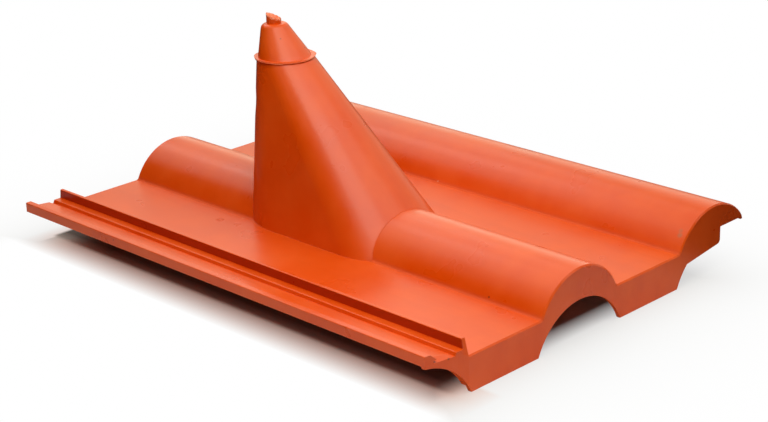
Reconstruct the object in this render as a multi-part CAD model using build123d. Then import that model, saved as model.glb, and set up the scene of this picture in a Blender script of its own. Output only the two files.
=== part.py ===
from build123d import *
import math
import os

# Interlocking double-roll roof tile in moulded plastic, with a hollow slanted cone for a mast or a cable.
# Millimetres. X runs across the tile, from the side lock (-X) to the free edge of the cover roll (+X).
# Y runs up the roof, from the nose (-Y) to the head (+Y). Z is up, and the tile stands on Z = 0.

# Overall form
length = 420.0
wall = 3.0
skirt_depth = 25.5
nose_edge_chamfer = 1.0

# Pans and rolls across the tile
pan_width = 70.5
roll_half_width = 39.0
cover_half_width = 40.5
cover_reach = 35.0
roll_height = 25.3
crease_radius = 2.5

# Side lock: heights over the pan, widths from the outer face inwards
lock_width = 35.5
lock_wall = 2.8
upstand_height = 10.5
upstand_width = 4.4
upstand_slope = 5.2
trough_height = 6.1
trough_fall = 1.1
trough_end_run = 4.0
trough_end_fall = 3.3
groove_height = 3.4
groove_width = 2.6
step_lean = 1.0
shelf_height = 5.7
shelf_width = 5.8
rib_height = 12.2
rib_top_width = 2.8
rib_lean = 0.7
rib_end_lean = 2.6
lock_edge_radius = 0.7
lock_end_setback = 3.5

# Free edge of the cover roll
lip_run = 1.8
lip_width = 2.2
lip_height = 5.4

# Nose skirt, cut out over the rolls of the tile below
arch_half_width = 42.7
arch_clearance = 2.6
cover_skirt_bend = 31.5
cover_skirt_end = 7.8
cover_skirt_drop = 5.2
cover_skirt_corner = 3.0
cover_curtain_height = 7.0

# Hanging nibs under the head, one below each pan
nib_width = 34.0
nib_thickness = 5.0
nib_head_gap = 36.0
gusset_length = 20.0
gusset_thickness = 3.0

# Mast cone on the middle roll: a slot-shaped foot drawn in to a round ring
foot_radius = 46.6
foot_back_y = 45.6
foot_front_y = -33.5
ring_y = 70.0
ring_height = 118.5
ring_radius = 21.0
ring_flash = 1.4
ring_thickness = 1.2
roll_to_neck = 6.0

# Closed tip over the ring, cut off when a mast is passed through, with the torn sprue on its top
tip_step = 1.0
tip_height = 23.5
tip_top_radius = 9.4
tip_top_y = 80.5
tip_edge_radius = 4.0
sprue_radius = 5.5
sprue_height = 7.0
sprue_tear_angle = 22.0
sprue_tear_heading = -45.0

# Places that follow from the sizes above
width = lock_width + 2 * pan_width + 2 * roll_half_width + cover_half_width + cover_reach
pan_top = skirt_depth
pan_under = pan_top - wall
crown = pan_top + roll_height
ring_z = pan_top + ring_height
tip_z = ring_z + tip_height
lock_x = -width / 2
pan_one_x = lock_x + lock_width
roll_x = pan_one_x + pan_width + roll_half_width
pan_two_x = roll_x + roll_half_width
cover_x = pan_two_x + pan_width + cover_half_width
free_x = cover_x + cover_reach
roll_pitch = cover_x - roll_x
nose_y = -length / 2
head_y = length / 2
shelf_end_x = pan_one_x - rib_top_width - 2 * rib_lean
shelf_x = shelf_end_x - shelf_width
groove_end_x = shelf_x - step_lean
groove_x = groove_end_x - groove_width
arch_top = roll_height + arch_clearance
arch_radius = (arch_half_width**2 + arch_top**2) / (2 * arch_top)
tolerance = 0.01


def roll_radius(half_width):
    return (half_width**2 + roll_height**2) / (2 * roll_height)


# Height of a roll's surface, or of the one a depth below it, at an offset from the roll's middle
def on_roll(half_width, offset, depth):
    radius = roll_radius(half_width)
    return crown - radius + math.sqrt((radius - depth)**2 - offset**2)


# Half width of a roll's hollow where it meets the underside of the pans
def inner_foot(half_width):
    radius = roll_radius(half_width)
    return math.sqrt((radius - wall)**2 - (pan_under - crown + radius)**2)


# Top surface across the tile, from the outer face of the lock to the free edge
def top_line():
    lock_points = [
        (lock_x, pan_top + upstand_height),
        (lock_x + upstand_width, pan_top + upstand_height),
        (lock_x + upstand_width + upstand_slope, pan_top + trough_height),
        (groove_x - step_lean, pan_top + trough_height - trough_fall),
        (groove_x, pan_top + groove_height),
        (groove_end_x, pan_top + groove_height),
        (shelf_x, pan_top + shelf_height),
        (shelf_end_x, pan_top + shelf_height),
        (shelf_end_x + rib_lean, pan_top + rib_height),
        (pan_one_x - rib_lean, pan_top + rib_height),
        (pan_one_x, pan_top),
    ]
    roll_left = (roll_x - roll_half_width, pan_top)
    roll_right = (pan_two_x, pan_top)
    cover_left = (cover_x - cover_half_width, pan_top)
    lip_offset = cover_reach - lip_run
    lip_top = (cover_x + lip_offset, on_roll(cover_half_width, lip_offset, 0))
    return Curve() + [
        Polyline(*lock_points, roll_left),
        ThreePointArc(roll_left, (roll_x, crown), roll_right),
        Line(roll_right, cover_left),
        ThreePointArc(cover_left, (cover_x, crown), lip_top),
        Line(lip_top, (free_x, pan_top + lip_height)),
    ]


# Underside across the tile, from the free edge back to the outer face of the lock
def under_line():
    cover_foot = (cover_x - inner_foot(cover_half_width), pan_under)
    roll_right = (roll_x + inner_foot(roll_half_width), pan_under)
    roll_left = (roll_x - inner_foot(roll_half_width), pan_under)
    lip_offset = cover_reach - lip_run - lip_width
    lip_inner = (cover_x + lip_offset, on_roll(cover_half_width, lip_offset, wall))
    lock_points = [
        (shelf_end_x, pan_under),
        (shelf_end_x, pan_top + shelf_height - lock_wall),
        (shelf_x + wall, pan_top + shelf_height - lock_wall),
        (shelf_x + wall - step_lean, pan_top + groove_height - lock_wall),
        (groove_x - step_lean, pan_top + groove_height - lock_wall),
        (groove_x - 2 * step_lean, pan_top + trough_height - trough_fall - lock_wall),
        (lock_x, pan_top + trough_height - lock_wall),
        (lock_x, pan_top + upstand_height),
    ]
    return Curve() + [
        Polyline((free_x, pan_top + lip_height), (free_x - lip_width, pan_top + lip_height), lip_inner),
        ThreePointArc(lip_inner, (cover_x, crown - wall), cover_foot),
        Line(cover_foot, roll_right),
        ThreePointArc(roll_right, (roll_x, crown - wall), roll_left),
        Polyline(roll_left, *lock_points),
    ]


# Rounds a cross-section in the creases beside the rolls and along the top edges of the lock
def rounded(section):
    crease_places = [
        (roll_x - roll_half_width, pan_top),
        (pan_two_x, pan_top),
        (cover_x - cover_half_width, pan_top),
    ]
    lock_places = [
        (lock_x, pan_top + upstand_height),
        (lock_x + upstand_width, pan_top + upstand_height),
        (shelf_x, pan_top + shelf_height),
        (shelf_end_x + rib_lean, pan_top + rib_height),
        (pan_one_x - rib_lean, pan_top + rib_height),
    ]
    section = fillet(corners(section, crease_places), crease_radius)
    return fillet(corners(section, lock_places), lock_edge_radius)


def corners(section, places):
    return [section.vertices().sort_by_distance(place)[0] for place in places]


# Stands a cross-section at a place along the tile and extrudes it towards the nose
def run_along(section, start_y, run):
    return extrude(Plane.XZ.offset(-start_y) * section, run)


def tile_shell():
    section = make_face((top_line() + under_line()).edges())
    return run_along(rounded(section), head_y, length)


# Nose wall from the top surface down to the floor, cut out over the rolls of the tile below
def skirt_face():
    free_end = (free_x, pan_top + lip_height)
    lock_end = (lock_x, pan_top + upstand_height)
    sides = Polyline(free_end, (free_x, 0), (lock_x, 0), lock_end)
    face = rounded(make_face((top_line() + sides).edges()))
    arch = Pos(0, arch_top - arch_radius) * Circle(arch_radius)
    for place in (roll_x - roll_pitch, roll_x):
        face -= Pos(place, 0) * arch
    bend_height = arch_top - arch_radius + math.sqrt(arch_radius**2 - cover_skirt_bend**2)
    under_cover = [
        (-cover_skirt_bend, 0),
        (-cover_skirt_bend, bend_height),
        (cover_skirt_end, pan_top - cover_skirt_drop),
        (cover_skirt_end, pan_top + cover_curtain_height),
        (cover_reach, pan_top + cover_curtain_height),
        (cover_reach, 0),
    ]
    flank = Rectangle(arch_half_width, arch_top, align=(Align.MAX, Align.MIN))
    cut = make_face(Polyline(*under_cover, close=True)) + (arch & Pos(-cover_skirt_bend, 0) * flank)
    face -= Pos(cover_x, 0) * cut
    skirt_corner = corners(face, [(cover_x + cover_skirt_end, pan_top - cover_skirt_drop)])
    return fillet(skirt_corner, cover_skirt_corner)


def nose_skirt():
    face = skirt_face()
    lock_part = face & Pos(lock_x, 0) * Rectangle(lock_width, crown, align=(Align.MIN, Align.MIN))
    skirt = run_along(face, nose_y + wall, wall)
    return skirt + run_along(lock_part, nose_y + wall + lock_end_setback, wall + lock_end_setback)


# Wedge taken off the nose end of the lock, which falls back from the skirt towards the outer face
def lock_end_cut():
    plan = Polyline(
        (pan_one_x, nose_y),
        (lock_x, nose_y + lock_end_setback),
        (lock_x, nose_y),
        close=True,
    )
    return extrude(make_face(plan), crown)


# Lean of the rib's nose end, from the skirt's face back to its top
def rib_end_cut():
    lean = Polyline(
        (nose_y, pan_top),
        (nose_y + rib_end_lean, pan_top + rib_height),
        (nose_y, pan_top + rib_height),
        close=True,
    )
    return extrude(Plane.YZ.offset(shelf_end_x) * make_face(lean), pan_one_x - shelf_end_x)


# Slope by which the trough runs out at the nose end of the lock
def trough_end_cut():
    start_x = lock_x + upstand_width + upstand_slope / 2
    top = pan_top + trough_height
    slope = Polyline(
        (nose_y, top - trough_end_fall),
        (nose_y + lock_end_setback + trough_end_run, top),
        (nose_y, top),
        close=True,
    )
    return extrude(Plane.YZ.offset(start_x) * make_face(slope), groove_x - start_x)


# Lug that hangs on a batten, braced on its head side by two gussets
def hanging_nib():
    face_y = head_y - nib_head_gap
    back_y = face_y + nib_thickness
    seat = (Align.CENTER, Align.MIN, Align.MIN)
    lug = Pos(0, face_y, 0) * Box(nib_width, nib_thickness, pan_under, align=seat)
    brace_points = [(back_y, 0), (back_y + gusset_length, pan_under), (back_y, pan_under)]
    brace = make_face(Polyline(*brace_points, close=True))
    for side in (-nib_width / 2, nib_width / 2 - gusset_thickness):
        lug += extrude(Plane.YZ.offset(side) * brace, gusset_thickness)
    return lug


def between(start, end, share):
    return start + (end - start) * share


# Slot across the cone at a share of the way from its foot up to the ring, where it closes to a circle
def cone_slot(share, inset):
    radius = between(foot_radius, ring_radius, share) - inset
    back_y = between(foot_back_y, ring_y + tolerance, share)
    front_y = between(foot_front_y, ring_y - tolerance, share)
    place = Pos(roll_x, (back_y + front_y) / 2, between(pan_under, ring_z, share))
    return place * SlotCenterToCenter(back_y - front_y, 2 * radius, 90)


# Cone from its foot on the pans up past the roll to the ring, set in by an inset where it is the hollow
def cone_body(inset):
    over_roll = (crown + roll_to_neck - pan_under) / (ring_z - pan_under)
    return loft([cone_slot(share, inset) for share in (0, over_roll, 1)], ruled=True)


# Slanted cone from the ring up to the full height of the tip
def tip_body(bottom_radius, top_radius):
    bottom = Pos(roll_x, ring_y, ring_z) * Circle(bottom_radius)
    top = Pos(roll_x, tip_top_y, tip_z) * Circle(top_radius)
    return loft([bottom, top], ruled=True)


# Stub left by the moulding, torn off on a slope
def sprue():
    heading = math.radians(sprue_tear_heading)
    lean = math.radians(sprue_tear_angle)
    fall_x = math.cos(heading)
    fall_y = math.sin(heading)
    tear = Plane(
        origin=(-sprue_radius * fall_x, -sprue_radius * fall_y, sprue_height),
        z_dir=(math.sin(lean) * fall_x, math.sin(lean) * fall_y, math.cos(lean)),
    )
    stub = Cylinder(sprue_radius, sprue_height, align=(Align.CENTER, Align.CENTER, Align.MIN))
    return split(stub, bisect_by=tear, keep=Keep.BOTTOM)


# Cone, ring and closed tip as one solid body, before the hollow is taken out
def mast_cone():
    ring = Pos(roll_x, ring_y, ring_z) * Cylinder(ring_radius + ring_flash, ring_thickness)
    tip = tip_body(ring_radius - tip_step, tip_top_radius)
    tip = fillet(tip.edges().sort_by(Axis.Z)[-1], tip_edge_radius)
    return cone_body(0) + ring + tip + Pos(roll_x, tip_top_y, tip_z) * sprue()


# Space inside the cone, open below and closed by the top of the tip
def cone_hollow():
    tip = tip_body(ring_radius - wall, tip_top_radius - wall)
    over_tip = Box(4 * ring_radius, 4 * ring_radius, 2 * wall, align=(Align.CENTER, Align.CENTER, Align.MIN))
    return cone_body(wall) + tip - Pos(roll_x, tip_top_y, tip_z - wall) * over_tip


# Room under the middle roll, which the wall of the cone leaves free
def roll_room():
    foot = inner_foot(roll_half_width)
    left = (roll_x - foot, pan_under)
    right = (roll_x + foot, pan_under)
    outline = Curve() + [ThreePointArc(left, (roll_x, crown - wall), right), Line(right, left)]
    return run_along(make_face(outline.edges()), head_y, length)


# Top edge of the nose over the pans and the rolls
def nose_edges(tile):
    at_nose = tile.edges().filter_by_position(Axis.Y, nose_y - tolerance, nose_y + tolerance)
    past_lock = [edge for edge in at_nose if edge.center().X > pan_one_x]
    over_pans = [edge for edge in past_lock if edge.bounding_box().min.Z > pan_top - tolerance]
    along_pans = [edge for edge in over_pans if edge.center().Z < pan_top + tolerance]
    over_rolls = [edge for edge in over_pans if edge.geom_type == GeomType.CIRCLE]
    return along_pans + over_rolls


def roof_tile():
    tile = tile_shell() + nose_skirt()
    tile = chamfer(nose_edges(tile), nose_edge_chamfer)
    tile = tile - lock_end_cut() - rib_end_cut() - trough_end_cut()
    for pan_x in (pan_one_x, pan_two_x):
        tile += Pos(pan_x + pan_width / 2, 0, 0) * hanging_nib()
    cone = mast_cone() - roll_room()
    return tile + cone - cone_hollow()


os.makedirs("parts", exist_ok=True)
export_step(roof_tile(), "parts/roof_tile.step")
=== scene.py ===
import bpy, bmesh, math
from mathutils import Matrix, Vector, noise


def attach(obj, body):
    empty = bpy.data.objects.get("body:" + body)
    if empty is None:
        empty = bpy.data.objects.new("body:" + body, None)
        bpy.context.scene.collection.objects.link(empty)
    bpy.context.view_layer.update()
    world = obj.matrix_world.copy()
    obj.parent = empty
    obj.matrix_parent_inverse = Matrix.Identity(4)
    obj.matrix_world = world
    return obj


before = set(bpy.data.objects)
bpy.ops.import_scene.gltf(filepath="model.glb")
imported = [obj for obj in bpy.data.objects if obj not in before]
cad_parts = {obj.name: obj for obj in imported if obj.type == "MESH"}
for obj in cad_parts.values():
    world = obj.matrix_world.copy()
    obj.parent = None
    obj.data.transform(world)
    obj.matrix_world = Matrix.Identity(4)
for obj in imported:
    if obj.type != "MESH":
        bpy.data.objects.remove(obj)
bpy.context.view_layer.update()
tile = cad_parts["roof_tile"]
scene = bpy.context.scene
scene.view_settings.view_transform = "Standard"
print("frame loaded:", ", ".join(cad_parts))

mm = 0.001


def hexToLinear(code):
    parts = [int(code[i:i + 2], 16) / 255 for i in (1, 3, 5)]
    return tuple(c / 12.92 if c <= 0.04045 else ((c + 0.055) / 1.055) ** 2.4 for c in parts) + (1.0,)


# one node: sockets among its inputs are linked, other values set; gives back the output asked for
def addNode(tree, kind, inputs=None, output=0, **settings):
    node = tree.nodes.new("ShaderNode" + kind)
    for name, value in settings.items():
        setattr(node, name, value)
    for name, value in (inputs or {}).items():
        if isinstance(value, bpy.types.NodeSocket):
            tree.links.new(value, node.inputs[name])
        else:
            node.inputs[name].default_value = value
    return node.outputs[output] if node.outputs else node


def newMaterial(name):
    made = bpy.data.materials.new(name)
    made.use_nodes = True
    made.node_tree.nodes.clear()
    return made, made.node_tree


# 1 inside a rectangle in mm, 0 outside, with edges of given widths
def inside(tree, axes, spans, widths):
    whole = 1.0
    for axis, (low, high), (lowEdge, highEdge) in zip(axes, spans, widths):
        rise = addNode(tree, "MapRange", {0: axis, 1: (low - lowEdge / 2) * mm, 2: (low + lowEdge / 2) * mm})
        fall = addNode(tree, "MapRange", {0: axis, 1: (high + highEdge / 2) * mm, 2: (high - highEdge / 2) * mm})
        share = addNode(tree, "Math", {0: rise, 1: fall}, operation="MULTIPLY")
        whole = addNode(tree, "Math", {0: whole, 1: share}, operation="MULTIPLY")
    return whole


# piece from a bmesh drawn in mm about the origin
def placePiece(name, work, centre, material):
    bmesh.ops.translate(work, verts=work.verts, vec=centre)
    bmesh.ops.scale(work, verts=work.verts, vec=(mm, mm, mm))
    bmesh.ops.recalc_face_normals(work, faces=work.faces)
    mesh = bpy.data.meshes.new(name)
    work.to_mesh(mesh)
    work.free()
    for face in mesh.polygons:
        face.use_smooth = True
    mesh.materials.append(material)
    piece = bpy.data.objects.new(name, mesh)
    scene.collection.objects.link(piece)
    return piece


# camera
shot = {
    "azimuth": -44.64,
    "elevation": 20.59,
    "roll": -1.82,
    "lens": 85.02,
    "sensor": 36.0,  # mm wide
    "place": (-0.8796, -0.8992, 0.5052),
}
lensData = bpy.data.cameras.new("shotCamera")
lensData.lens = shot["lens"]
lensData.sensor_width = shot["sensor"]
lensData.sensor_fit = "HORIZONTAL"
shotCamera = bpy.data.objects.new("shotCamera", lensData)
scene.collection.objects.link(shotCamera)
turn = Matrix.Rotation(math.radians(shot["azimuth"]), 4, "Z")
tilt = Matrix.Rotation(math.radians(90 - shot["elevation"]), 4, "X")
lean = Matrix.Rotation(math.radians(shot["roll"]), 4, "Z")
shotCamera.matrix_world = Matrix.Translation(shot["place"]) @ turn @ tilt @ lean
scene.camera = shotCamera
print("camera placed")


# moulded PVC, coloured through: satin from a finely spark-eroded mould, so broad soft reflections and no clear ones,
# a little cloudiness where the melt cooled unevenly, flow streaks along the tile, and some dark specks of burnt resin
pvc = {
    "colour": "#DC4A00",
    "cloud": "#E25410",
    "cloudSpan": (0.38, 0.66),
    "streak": "#CE4200",
    "streakSpan": (0.5, 0.75),
    "streakShare": 0.3,
    "ior": 1.44,
    "roughness": (0.26, 0.35),  # in the clear and in the cloudy places
    "roughSpan": (0.3, 0.7),
    "patterns": {  # sizes in mm
        "cloud": {"size": (38.0, 38.0, 38.0), "detail": 3.0, "rough": 0.55},
        "streak": {"size": (16.0, 160.0, 40.0), "detail": 3.0, "rough": 0.6},
        "grain": {"size": (1.1, 1.1, 1.1), "detail": 1.0, "rough": 0.5},  # really near 0.1 mm, drawn coarser so that it shows
        "wave": {"size": (55.0, 55.0, 55.0), "detail": 1.0, "rough": 0.5},  # slight warp of the thin walls
    },
    "grainBump": {"Strength": 0.12, "Distance": 0.12 * mm},
    "waveBump": {"Strength": 0.10, "Distance": 3.0 * mm},
    "specks": {"colour": "#5A1B08", "spacing": 46.0, "radius": 0.45, "share": 0.75},
    # a low ring with a sunk middle, on the pan by the lock
    "blister": {"place": (-75.3, 90.1, 25.5), "ring": 2.04, "rim": 1.3, "bump": {"Strength": 0.5, "Distance": 0.8 * mm}},
    # between pans and rolls, in mm across the tile: the mould's steel is left unpolished there, so duller, and the
    # colour is darkened there as painted shade
    "creases": {
        "lines": (-58.8, 18.8, 89.4),
        "half": (1.1, 2.2),
        "low": (24.7, 25.0),
        "high": (26.5, 28.5),
        "colour": "#C23E00",
        "share": 0.3,
        "dulling": 0.4,
    },
    # inner wall of the lock's rib: painted shade, a deeper red, as the wall takes its light only from the red trough
    # below it
    "ribWallShade": {
        "span": ((-133.85, -132.98), (31.6, 37.3)),  # across and up
        "edges": ((0.1, 0.1), (0.5, 0.5)),
        "colour": "#9E1E00",
        "share": 0.8,
    },
    "markCore": 0.35,  # part of a mark's radius at full strength
    # marks seen on this tile: place and radius in mm, how strong, darker or paler than the body
    "marks": {
        "rollSpeck": {"place": (-57.6, -162.9, 28.3), "radius": 1.0, "colour": "#5A1B08", "share": 0.8},
        "lockFaceSpeck": {"place": (-165.0, 101.8, 33.3), "radius": 0.9, "colour": "#6E2208", "share": 0.6},
        # painted shade: dark spots where two small pits at the lock's nose end are not modelled
        "lockPitShadeOuter": {"place": (-156.5, -206.3, 29.9), "radius": 1.2, "colour": "#7A2606", "share": 0.8},
        "lockPitShadeInner": {"place": (-145.8, -208.4, 28.8), "radius": 1.1, "colour": "#7A2606", "share": 0.75},
        "tipSpeck": {"place": (-27.2, 65.8, 159.2), "radius": 0.8, "colour": "#8A2C08", "share": 0.7},
        "tipEdgeSpeck": {"place": (-10.3, 58.5, 150.1), "radius": 1.1, "colour": "#7A2606", "share": 0.6},
        "creaseGlint": {"place": (90.1, 21.6, 26.6), "radius": 0.9, "colour": "#F6B9A0", "share": 0.8},
        "footGlint": {"place": (-62.7, 79.1, 25.5), "radius": 1.6, "colour": "#F08A5E", "share": 0.6},
        # a greyish-brown, less orange patch low on the cover roll's nose end
        "coverGreyPatch": {"place": (97.2, -204.2, 36.4), "radius": 2.6, "colour": "#8C7A60", "share": 0.42},
        "coverGreyPatchTop": {"place": (98.9, -203.2, 39.4), "radius": 2.4, "colour": "#8C7A60", "share": 0.34},
    },
}
tilePvc, tree = newMaterial("mouldedTerracottaPvc")
coords = addNode(tree, "TexCoord", output="Object")
spot = addNode(tree, "SeparateXYZ", {0: coords}).node.outputs
pattern = {}
for name, grid in pvc["patterns"].items():
    stretched = addNode(tree, "VectorMath", {0: coords, 1: Vector(grid["size"]) * mm}, operation="DIVIDE")
    fineness = {"Vector": stretched, "Scale": 1.0, "Detail": grid["detail"], "Roughness": grid["rough"]}
    pattern[name] = addNode(tree, "TexNoise", fineness)

low, high = pvc["cloudSpan"]
share = addNode(tree, "MapRange", {0: pattern["cloud"], 1: low, 2: high})
colour = addNode(tree, "Mix", {0: share, 6: hexToLinear(pvc["colour"]), 7: hexToLinear(pvc["cloud"])}, 2, data_type="RGBA")
low, high = pvc["streakSpan"]
share = addNode(tree, "MapRange", {0: pattern["streak"], 1: low, 2: high, 4: pvc["streakShare"]})
colour = addNode(tree, "Mix", {0: share, 6: colour, 7: hexToLinear(pvc["streak"])}, 2, data_type="RGBA")

specks = pvc["specks"]
cell = addNode(tree, "TexVoronoi", {"Vector": coords, "Scale": 1 / (specks["spacing"] * mm)}, "Distance")
speckEdge = specks["radius"] / specks["spacing"]
share = addNode(tree, "MapRange", {0: cell, 1: speckEdge * 0.5, 2: speckEdge, 3: specks["share"], 4: 0.0})
colour = addNode(tree, "Mix", {0: share, 6: colour, 7: hexToLinear(specks["colour"])}, 2, data_type="RGBA")
for mark in pvc["marks"].values():
    away = addNode(tree, "VectorMath", {0: coords, 1: Vector(mark["place"]) * mm}, "Value", operation="DISTANCE")
    edge = mark["radius"] * mm
    share = addNode(tree, "MapRange", {0: away, 1: edge * pvc["markCore"], 2: edge, 3: mark["share"], 4: 0.0})
    colour = addNode(tree, "Mix", {0: share, 6: colour, 7: hexToLinear(mark["colour"])}, 2, data_type="RGBA")
# painted shade on the inner wall of the lock's rib
wall = pvc["ribWallShade"]
onShadedWall = inside(tree, (spot["X"], spot["Z"]), wall["span"], wall["edges"])
share = addNode(tree, "Math", {0: onShadedWall, 1: wall["share"]}, operation="MULTIPLY")
colour = addNode(tree, "Mix", {0: share, 6: colour, 7: hexToLinear(wall["colour"])}, 2, data_type="RGBA")

low, high = pvc["roughSpan"]
clear, cloudy = pvc["roughness"]
roughness = addNode(tree, "MapRange", {0: pattern["cloud"], 1: low, 2: high, 3: clear, 4: cloudy})
crease = pvc["creases"]
below = addNode(tree, "MapRange", {0: spot["Z"], 1: crease["high"][0] * mm, 2: crease["high"][1] * mm, 3: 1.0, 4: 0.0})
above = addNode(tree, "MapRange", {0: spot["Z"], 1: crease["low"][0] * mm, 2: crease["low"][1] * mm})
level = addNode(tree, "Math", {0: below, 1: above}, operation="MULTIPLY")
for line in crease["lines"]:
    gap = addNode(tree, "Math", {0: spot["X"], 1: line * mm}, operation="SUBTRACT")
    gap = addNode(tree, "Math", {0: gap}, operation="ABSOLUTE")
    near = addNode(tree, "MapRange", {0: gap, 1: crease["half"][0] * mm, 2: crease["half"][1] * mm, 3: 1.0, 4: 0.0})
    near = addNode(tree, "Math", {0: near, 1: level}, operation="MULTIPLY")
    share = addNode(tree, "Math", {0: near, 1: crease["share"]}, operation="MULTIPLY")
    # painted shade: the colour darkens along the creases
    colour = addNode(tree, "Mix", {0: share, 6: colour, 7: hexToLinear(crease["colour"])}, 2, data_type="RGBA")
    roughness = addNode(tree, "Math", {0: near, 1: crease["dulling"], 2: roughness}, operation="MULTIPLY_ADD")

blister = pvc["blister"]
away = addNode(tree, "VectorMath", {0: coords, 1: Vector(blister["place"]) * mm}, "Value", operation="DISTANCE")
away = addNode(tree, "Math", {0: away, 1: blister["ring"] * mm}, operation="SUBTRACT")
away = addNode(tree, "Math", {0: away}, operation="ABSOLUTE")
swelling = addNode(tree, "MapRange", {0: away, 1: 0.0, 2: blister["rim"] * mm, 3: 1.0, 4: 0.0})
relief = addNode(tree, "Bump", {**pvc["grainBump"], "Height": pattern["grain"]})
relief = addNode(tree, "Bump", {**pvc["waveBump"], "Height": pattern["wave"], "Normal": relief})
relief = addNode(tree, "Bump", {**blister["bump"], "Height": swelling, "Normal": relief})
shader = addNode(tree, "BsdfPrincipled", {"IOR": pvc["ior"], "Base Color": colour, "Roughness": roughness, "Normal": relief})
addNode(tree, "OutputMaterial", {"Surface": shader})
tile.material_slots[0].material = tilePvc
print("tile finished")


# flash: the thin fin that the mould's parting left round the ring, a little wavy and turned up at its two ends
flash = {
    "centre": (-20.0, 70.0, 144.0),
    "inner": 21.9,
    "outer": 22.7,
    "root": 0.8,  # thickness at the ring and at the rim
    "rim": 0.4,
    "steps": 180,
    "rise": ((0.4, 3.1, 0.0), (0.2, 9.7, 0.0)),  # waves of the rim up and outwards: height, closeness, start
    "reach": ((0.3, 4.3, 5.0), (0.2, 14.0, 0.0)),
    "ends": ((138.0, 0.8, 0.1), (316.0, 0.8, 0.4)),  # heading, rise and reach
    "endNarrowness": 14,
    "colour": "#F2885C",
    "patchSize": 9.0,
    "patchSpan": (0.35, 0.7),
    "roughness": 0.42,
    "ior": 1.47,
}
# flash of the same PVC: drawn a shade paler as painted light for its lit edge, uneven, and duller than the moulded
# faces
thinPvc, tree = newMaterial("thinTerracottaPvc")
coords = addNode(tree, "TexCoord", output="Object")
stretched = addNode(tree, "VectorMath", {0: coords, 1: Vector([flash["patchSize"]] * 3) * mm}, operation="DIVIDE")
patch = addNode(tree, "TexNoise", {"Vector": stretched, "Scale": 1.0, "Detail": 2.0, "Roughness": 0.5})
low, high = flash["patchSpan"]
share = addNode(tree, "MapRange", {0: patch, 1: low, 2: high})
# painted light: the fin's paler colour stands in for its lit edge
colour = addNode(tree, "Mix", {0: share, 6: hexToLinear(flash["colour"]), 7: hexToLinear(pvc["colour"])}, 2, data_type="RGBA")
shader = addNode(tree, "BsdfPrincipled", {"IOR": flash["ior"], "Roughness": flash["roughness"], "Base Color": colour})
addNode(tree, "OutputMaterial", {"Surface": shader})

fin = bmesh.new()
profile = [
    (flash["inner"], -flash["root"] / 2),
    (flash["outer"], -flash["rim"] / 2),
    (flash["outer"], flash["rim"] / 2),
    (flash["inner"], flash["root"] / 2),
]
section = [fin.verts.new((radius, 0, height)) for radius, height in profile]
loop = [fin.edges.new((section[i], section[(i + 1) % 4])) for i in range(4)]
bmesh.ops.spin(
    fin, geom=section + loop, cent=(0, 0, 0), axis=(0, 0, 1), angle=math.tau, steps=flash["steps"], use_merge=True)
for vert in fin.verts:
    radius = math.hypot(vert.co.x, vert.co.y)
    share = (radius - flash["inner"]) / (flash["outer"] - flash["inner"])
    around = Vector((vert.co.x, vert.co.y, 0)).normalized()
    rise, reach = (
        sum(size * noise.noise(around * closeness + Vector((0, 0, start))) for size, closeness, start in flash[waves])
        for waves in ("rise", "reach"))
    for heading, up, out in flash["ends"]:
        facing = around.x * math.cos(math.radians(heading)) + around.y * math.sin(math.radians(heading))
        near = max(0.0, facing) ** flash["endNarrowness"]
        rise += up * near
        reach += out * near
    vert.co += around * reach * share
    vert.co.z += rise * share
ringFlash = placePiece("ringFlash", fin, flash["centre"], thinPvc)
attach(ringFlash, "root")
print("ring flash made")


# bead: the fine line of flash that stands in the crease where the cone meets the pans and the roll
bead = {
    "radius": 0.25,
    "swell": 0.6,
    "swellCloseness": 0.15,
    "headings": 96,
    "sides": 10,
    "searchSteps": 40,
    # the cone from its foot to its ring: middle across, radii, middles of the back and front arcs, heights
    "cone": {"middle": -20.0, "radius": (46.6, 21.0), "back": (45.6, 70.0), "front": (-33.5, 70.0), "height": (22.5, 144.0)},
    "roll": {"pan": 25.5, "halfWidth": 39.0, "rise": 25.3},
}


def along(pair, share):
    return pair[0] + (pair[1] - pair[0]) * share


# point of the cone at a heading and a share of its height; side is 0 at the front arc and 1 at the back arc
def onCone(heading, side, share):
    cone = bead["cone"]
    radius = along(cone["radius"], share)
    middle = along(cone["front"], share) * (1 - side) + along(cone["back"], share) * side
    across = cone["middle"] + radius * math.cos(heading)
    return Vector((across, middle + radius * math.sin(heading), along(cone["height"], share)))


def tileTop(across):
    roll = bead["roll"]
    curve = (roll["halfWidth"] ** 2 + roll["rise"] ** 2) / (2 * roll["rise"])
    off = abs(across - bead["cone"]["middle"])
    if off >= roll["halfWidth"]:
        return roll["pan"]
    return roll["pan"] + roll["rise"] - curve + math.sqrt(curve ** 2 - off ** 2)


# where the cone comes out of the tile's top, found by halving
def creasePoint(heading, side):
    low, high = 0.0, 0.6
    for step in range(bead["searchSteps"]):
        middle = (low + high) / 2
        point = onCone(heading, side, middle)
        low, high = (low, middle) if point.z > tileTop(point.x) else (middle, high)
    return onCone(heading, side, high)


foot = [creasePoint(math.pi * (1 + i / bead["headings"]), 0.0) for i in range(bead["headings"] + 1)]
foot += [creasePoint(0.0, i / bead["sides"]) for i in range(1, bead["sides"])]
foot += [creasePoint(math.pi * i / bead["headings"], 1.0) for i in range(bead["headings"] + 1)]
foot += [creasePoint(math.pi, 1 - i / bead["sides"]) for i in range(1, bead["sides"])]
beadCurve = bpy.data.curves.new("footBead", "CURVE")
beadCurve.dimensions = "3D"
beadCurve.bevel_depth = bead["radius"] * mm
beadCurve.bevel_resolution = 2
beadLine = beadCurve.splines.new("POLY")
beadLine.points.add(len(foot) - 1)
beadLine.use_cyclic_u = True
for dot, point in zip(beadLine.points, foot):
    dot.co = (*(point * mm), 1.0)
    dot.radius = 1.0 + bead["swell"] * noise.noise(point * bead["swellCloseness"])
beadCurve.materials.append(tilePvc)
footBead = bpy.data.objects.new("footBead", beadCurve)
scene.collection.objects.link(footBead)
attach(footBead, "root")
print("foot bead made")


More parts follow.
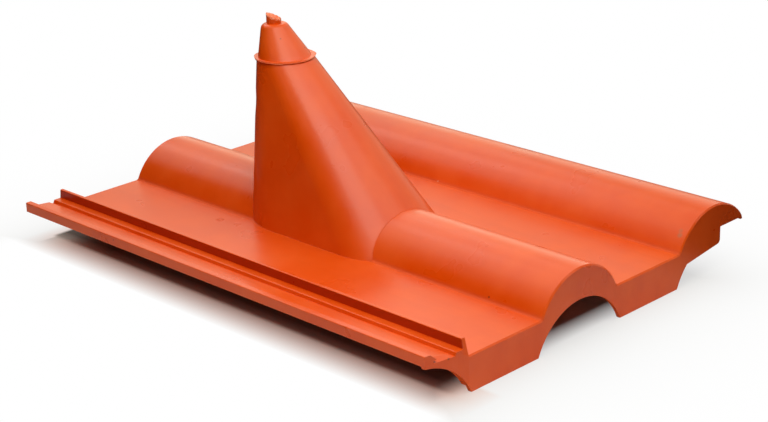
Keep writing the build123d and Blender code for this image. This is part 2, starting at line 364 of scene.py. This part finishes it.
# sprue end: torn off by hand, so a rough slope with a burr left standing on its high side
tear = {
    "centre": (-20.0, 80.5, 167.5),
    "radius": 5.55,
    "height": 7.0,
    "lift": 0.15,
    "angle": 22.0,
    "heading": -45.0,
    "cells": 22,
    "rough": 0.75,
    "lumps": ((1.0, 0.55), (0.6, 1.4)),  # share and closeness
    "burr": {"height": 0.9, "uphill": 3.6, "width": 1.5},
    "skirt": 1.3,
    "colour": "#E46030",
    "ridge": "#F7A07C",
    "ridgeSpan": (0.42, 0.68),
    "fibreSize": (1.6, 1.6, 2.4),
    "fibreBump": {"Strength": 0.6, "Distance": 0.6 * mm},
    "darkSpot": {"place": (-16.6, 76.6, 169.6), "radius": (0.76, 1.9), "colour": "#5A1B08", "share": 0.85},
    "roughness": 0.6,
    "ior": 1.47,
}
# torn PVC: stretched until it broke, so dull, rough and whitened on its ridges, with a dark spot in the middle of the
# break
tornPvc, tree = newMaterial("tornTerracottaPvc")
coords = addNode(tree, "TexCoord", output="Object")
stretched = addNode(tree, "VectorMath", {0: coords, 1: Vector(tear["fibreSize"]) * mm}, operation="DIVIDE")
fibre = addNode(tree, "TexNoise", {"Vector": stretched, "Scale": 1.0, "Detail": 3.0, "Roughness": 0.6})
low, high = tear["ridgeSpan"]
share = addNode(tree, "MapRange", {0: fibre, 1: low, 2: high})
colour = addNode(tree, "Mix", {0: share, 6: hexToLinear(tear["colour"]), 7: hexToLinear(tear["ridge"])}, 2, data_type="RGBA")
darkSpot = tear["darkSpot"]
away = addNode(tree, "VectorMath", {0: coords, 1: Vector(darkSpot["place"]) * mm}, "Value", operation="DISTANCE")
share = addNode(tree, "MapRange", {0: away, 1: darkSpot["radius"][0] * mm, 2: darkSpot["radius"][1] * mm, 3: darkSpot["share"], 4: 0.0})
colour = addNode(tree, "Mix", {0: share, 6: colour, 7: hexToLinear(darkSpot["colour"])}, 2, data_type="RGBA")
relief = addNode(tree, "Bump", {**tear["fibreBump"], "Height": fibre})
finish = {"IOR": tear["ior"], "Roughness": tear["roughness"], "Base Color": colour, "Normal": relief}
addNode(tree, "OutputMaterial", {"Surface": addNode(tree, "BsdfPrincipled", finish)})

fall = Vector((math.cos(math.radians(tear["heading"])), math.sin(math.radians(tear["heading"])), 0))
stub = bmesh.new()
bmesh.ops.create_grid(stub, x_segments=tear["cells"], y_segments=tear["cells"], size=1.0)
for vert in stub.verts:  # square laid out as a disc
    x, y = vert.co.x, vert.co.y
    vert.co = Vector((x * math.sqrt(1 - y * y / 2), y * math.sqrt(1 - x * x / 2), 0)) * tear["radius"]
border = [line for line in stub.edges if line.is_boundary]
skirtEdge = bmesh.ops.extrude_edge_only(stub, edges=border)["geom"]
lowered = {vert for vert in skirtEdge if isinstance(vert, bmesh.types.BMVert)}
burr = tear["burr"]
for vert in stub.verts:
    slope = tear["height"] - (vert.co.dot(fall) + tear["radius"]) * math.tan(math.radians(tear["angle"]))
    flat = Vector((vert.co.x, vert.co.y, 0))
    ragged = tear["rough"] * sum(share * noise.noise(flat * closeness) for share, closeness in tear["lumps"])
    standing = burr["height"] * math.exp(-((flat + fall * burr["uphill"]).length / burr["width"]) ** 2)
    vert.co.z = slope + ragged + standing + tear["lift"]
    if vert in lowered:
        vert.co.z -= tear["skirt"]
sprueTear = placePiece("sprueTear", stub, tear["centre"], tornPvc)
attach(sprueTear, "root")
print("sprue end torn")


# floor: a pale board whose picture was whitened around the tile; light bounces off the board only
# places are spans in mm across and along the tile, each with the widths of its soft edges
floorSpec = {
    "size": 40.0,  # m
    "colour": "#C0C0C0",
    "board": ((-330.0, 118.0), (-330.0, 310.0)),
    "boardEdges": ((80.0, 80.0), (80.0, 80.0)),
    "bounce": 0.90,
    "roomBounce": 0.04,
    "stand": ((-165.0, 116.0), (-210.0, 210.0)),  # the tile's outline on the floor, without the free roll
    "edgeWhite": 0.64,  # share of plain white at that outline; it rises to 1 over the fade
    "fade": 34.0,
    "mirrorWhite": (60.0, 160.0),  # mm from the outline between which the white comes into the tile's reflections
    "underTile": ((-138.5, 72.0), (-196.0, 216.0)),  # no white at all
    "underEdges": ((4.0, 24.0), (20.0, 4.0)),
    "lockStrip": ((-165.0, -100.0), (-191.0, 212.0)),  # here the lock's own white holds
    "lockStripEdges": ((2.0, 10.0), (24.0, 4.0)),
    "lockWhite": 0.26,  # share of white at the lock's inner line; it is 1 at the outer one
    "lockLines": (-139.0, -167.0),
    "besideLock": ((-700.0, -100.0), (-262.0, 330.0)),
    "besideEdges": ((600.0, 40.0), (90.0, 200.0)),
    "lockShade": ((-132.5, -95.0), (-195.0, 216.0)),  # deepest shade, below the lock
    "lockShadeEdges": ((11.0, 30.0), (30.0, 4.0)),
    "shadeColour": "#707070",
    "tintPlace": ((-200.0, -120.0), (-215.0, 215.0)),  # red light off the lock on the board
    "tintEdges": ((4.0, 4.0), (30.0, 30.0)),
    "tint": "#F2CDBE",
    "white": "#FFFFFF",
}
sheet = bmesh.new()
bmesh.ops.create_grid(sheet, x_segments=1, y_segments=1, size=floorSpec["size"] / 2)
floorMesh = bpy.data.meshes.new("studioFloor")
sheet.to_mesh(floorMesh)
sheet.free()
studioFloor = bpy.data.objects.new("studioFloor", floorMesh)
scene.collection.objects.link(studioFloor)

# matte white paint: rolled on, so evenly dull, and shown white only to the camera and in reflections
floorPaint, tree = newMaterial("matteWhitePaint")
axes = addNode(tree, "SeparateXYZ", {0: addNode(tree, "TexCoord", output="Object")}).node.outputs
path = addNode(tree, "LightPath").node.outputs
board = inside(tree, axes, floorSpec["board"], floorSpec["boardEdges"])
mirrored = addNode(tree, "Math", {0: path["Is Glossy Ray"], 1: board}, operation="MULTIPLY")
seen = addNode(tree, "Math", {0: path["Is Camera Ray"], 1: path["Is Transmission Ray"]}, operation="MAXIMUM")
seen = addNode(tree, "Math", {0: seen, 1: mirrored}, operation="MAXIMUM")
bounce = addNode(tree, "MapRange", {0: board, 3: floorSpec["roomBounce"], 4: floorSpec["bounce"]})
boardLight = addNode(tree, "BsdfDiffuse", {"Color": bounce})

shade = inside(tree, axes, floorSpec["lockShade"], floorSpec["lockShadeEdges"])
grey, deepGrey = hexToLinear(floorSpec["colour"]), hexToLinear(floorSpec["shadeColour"])
paint = addNode(tree, "BsdfDiffuse", {"Color": addNode(tree, "Mix", {0: shade, 6: grey, 7: deepGrey}, 2, data_type="RGBA")})
inner, outer = (line * mm for line in floorSpec["lockLines"])
tinted = addNode(tree, "MapRange", {0: axes["X"], 1: inner, 2: outer, 3: 1.0, 4: 0.0})
tintPlace = inside(tree, axes, floorSpec["tintPlace"], floorSpec["tintEdges"])
tinted = addNode(tree, "Math", {0: tinted, 1: tintPlace}, operation="MULTIPLY")
plain, tint = hexToLinear(floorSpec["white"]), hexToLinear(floorSpec["tint"])
glowColour = addNode(tree, "Mix", {0: tinted, 6: plain, 7: tint}, 2, data_type="RGBA")
glow = addNode(tree, "Emission", {"Color": glowColour, "Strength": 1.0})

# metres from the tile's outline
squares = []
for axis, (low, high) in zip(axes, floorSpec["stand"]):
    off = addNode(tree, "Math", {0: axis, 1: (low + high) / 2 * mm}, operation="SUBTRACT")
    off = addNode(tree, "Math", {0: off}, operation="ABSOLUTE")
    off = addNode(tree, "Math", {0: off, 1: (high - low) / 2 * mm}, operation="SUBTRACT")
    off = addNode(tree, "Math", {0: off, 1: 0.0}, operation="MAXIMUM")
    squares.append(addNode(tree, "Math", {0: off, 1: off}, operation="MULTIPLY"))
off = addNode(tree, "Math", {0: squares[0], 1: squares[1]}, operation="ADD")
off = addNode(tree, "Math", {0: off}, operation="SQRT")
fade = addNode(tree, "Math", {0: off, 1: -floorSpec["fade"] * mm}, operation="DIVIDE")
fade = addNode(tree, "Math", {0: fade}, operation="EXPONENT")

# white around the tile and below the lock, none under the tile
strip = inside(tree, axes, floorSpec["lockStrip"], floorSpec["lockStripEdges"])
strip = addNode(tree, "Math", {0: 1.0, 1: strip}, operation="SUBTRACT")
around = addNode(tree, "MapRange", {0: fade, 3: 1.0, 4: floorSpec["edgeWhite"]})
around = addNode(tree, "Math", {0: around, 1: strip}, operation="MULTIPLY")
belowLock = addNode(tree, "MapRange", {0: axes["X"], 1: inner, 2: outer, 3: floorSpec["lockWhite"], 4: 1.0})
beside = inside(tree, axes, floorSpec["besideLock"], floorSpec["besideEdges"])
belowLock = addNode(tree, "Math", {0: belowLock, 1: beside}, operation="MULTIPLY")
under = inside(tree, axes, floorSpec["underTile"], floorSpec["underEdges"])
under = addNode(tree, "Math", {0: 1.0, 1: under}, operation="SUBTRACT")
white = addNode(tree, "Math", {0: around, 1: belowLock}, operation="MAXIMUM")
white = addNode(tree, "Math", {0: white, 1: under}, operation="MULTIPLY")

# the tile mirrors the plain paint near it, the white only further off
low, high = (limit * mm for limit in floorSpec["mirrorWhite"])
hidden = addNode(tree, "MapRange", {0: off, 1: low, 2: high, 3: 1.0, 4: 0.0})
hidden = addNode(tree, "Math", {0: path["Is Glossy Ray"], 1: hidden}, operation="MULTIPLY")
hidden = addNode(tree, "Math", {0: 1.0, 1: hidden}, operation="SUBTRACT")
white = addNode(tree, "Math", {0: white, 1: hidden}, operation="MULTIPLY")
shown = addNode(tree, "MixShader", {0: white, 1: paint, 2: glow})
mixed = addNode(tree, "MixShader", {0: seen, 1: boardLight, 2: shown})
addNode(tree, "OutputMaterial", {"Surface": mixed})
floorMesh.materials.append(floorPaint)
print("floor laid")


# soft boxes: degrees round from +X and up from the floor, metres away, side in metres, watts
softBoxes = {
    "keyBox": {"round": 234, "up": 58, "away": 0.82, "side": 0.5, "power": 2.95},
    "topBox": {"round": 230, "up": 78, "away": 0.77, "side": 0.5, "power": 0.9},
    "leftBox": {"round": 216, "up": 33, "away": 0.82, "side": 0.5, "power": 1.1},
    "backLeftBox": {"round": 150, "up": 58, "away": 0.77, "side": 0.5, "power": 0.55},
    "frontRightBox": {"round": 305, "up": 55, "away": 1.4, "side": 0.8, "power": 4.4},
    "rightTopBox": {"round": 330, "up": 72, "away": 1.4, "side": 0.9, "power": 1.1},
    "rightBox": {"round": 350, "up": 45, "away": 1.4, "side": 0.8, "power": 1.6},
    "backRightBox": {"round": 60, "up": 42, "away": 1.4, "side": 0.8, "power": 2.7},
    "backBox": {"round": 90, "up": 48, "away": 1.4, "side": 0.8, "power": 3.5},
}
lampColour = "#FFFEF2"
lampsAimAt = Vector((0, 0, 0.05))
for name, box in softBoxes.items():
    around, up = math.radians(box["round"]), math.radians(box["up"])
    aim = Vector((math.cos(up) * math.cos(around), math.cos(up) * math.sin(around), math.sin(up)))
    lampData = bpy.data.lights.new(name, "AREA")
    lampData.size = box["side"]
    lampData.energy = box["power"]
    lampData.color = hexToLinear(lampColour)[:3]
    lamp = bpy.data.objects.new(name, lampData)
    scene.collection.objects.link(lamp)
    lamp.location = aim * box["away"] + lampsAimAt
    lamp.rotation_euler = aim.to_track_quat("Z", "Y").to_euler()

# backdrop: pale behind and to the right of the tile, dark elsewhere
backdropColour = "#FFF9DC"
backdrop = {
    "behind": {"aim": (0.66, 0.67, 0.36), "narrowness": 14.0, "strength": 0.62},
    "behindLow": {"aim": (0.70, 0.70, 0.03), "narrowness": 40.0, "strength": 1.45},
    "right": {"aim": (0.95, 0.20, 0.30), "narrowness": 6.0, "strength": 0.90},
}
room = bpy.data.worlds.new("room")
scene.world = room
room.use_nodes = True
tree = room.node_tree
tree.nodes.clear()
heading = addNode(tree, "TexCoord", output="Generated")
total = 0.0
for part in backdrop.values():
    aim = Vector(part["aim"]).normalized()
    facing = addNode(tree, "VectorMath", {0: heading, 1: aim}, "Value", operation="DOT_PRODUCT")
    facing = addNode(tree, "Math", {0: facing, 1: 0.0}, operation="MAXIMUM")
    facing = addNode(tree, "Math", {0: facing, 1: part["narrowness"]}, operation="POWER")
    total = addNode(tree, "Math", {0: facing, 1: part["strength"], 2: total}, operation="MULTIPLY_ADD")
fill = addNode(tree, "Background", {"Color": hexToLinear(backdropColour), "Strength": total})
addNode(tree, "OutputWorld", {"Surface": fill})
print("lights hung")
